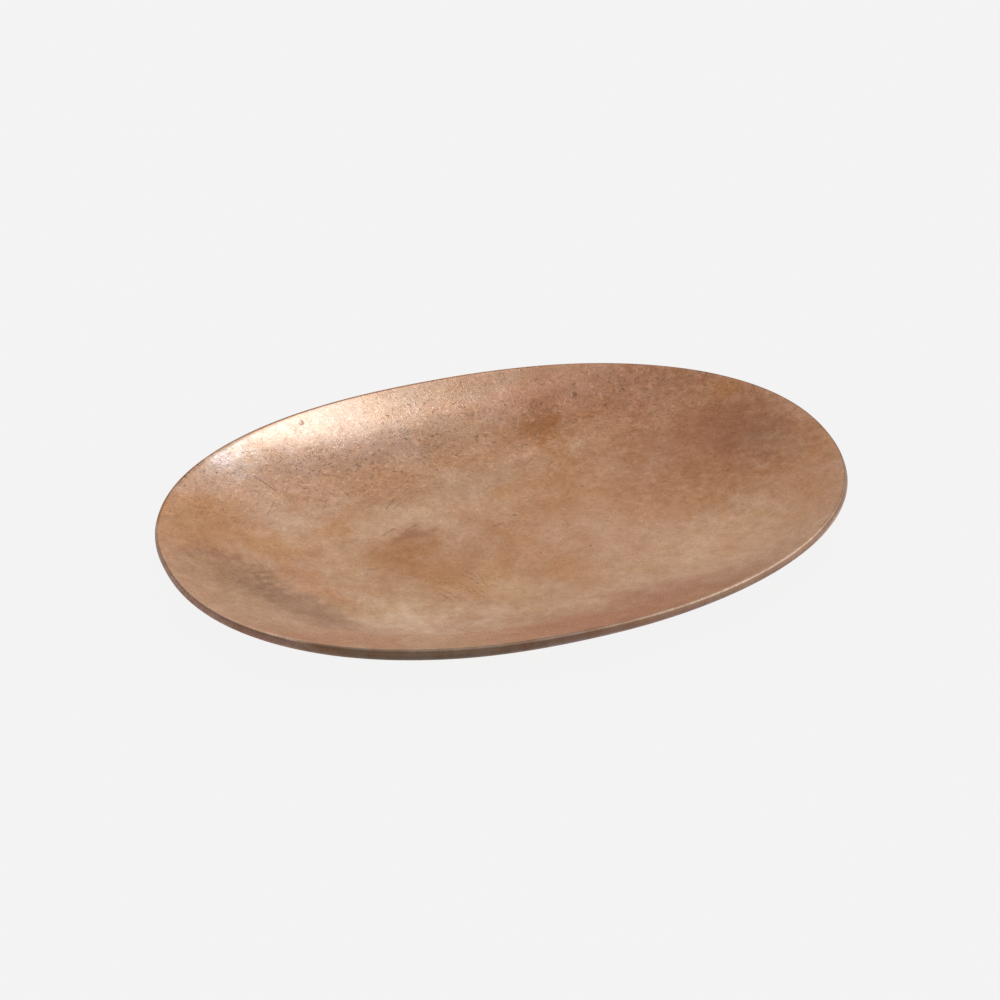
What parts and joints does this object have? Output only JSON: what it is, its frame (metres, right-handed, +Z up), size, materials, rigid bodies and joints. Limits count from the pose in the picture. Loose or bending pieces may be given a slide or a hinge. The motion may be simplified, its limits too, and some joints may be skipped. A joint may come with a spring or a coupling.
{
  "type": "oval metal tray",
  "caption": "Shallow oval copper tray with a small flat floor, a wide wall that curves gently up all round, and an even plate edge with rounded corners.",
  "frame": {"origin": "centre of the flat underside, on the surface that the tray stands on", "axes": "+X along the tray's length towards its slightly narrower end, +Y along its width, +Z up out of the tray"},
  "size_m": [0.2112, 0.1468, 0.0139],
  "materials": {
    "copper": "worn, dull copper with a blotchy brown patina and fine random scuffs"
  },
  "bodies": {
    "root": {"tray_body": "copper"}
  },
  "joints": []
}
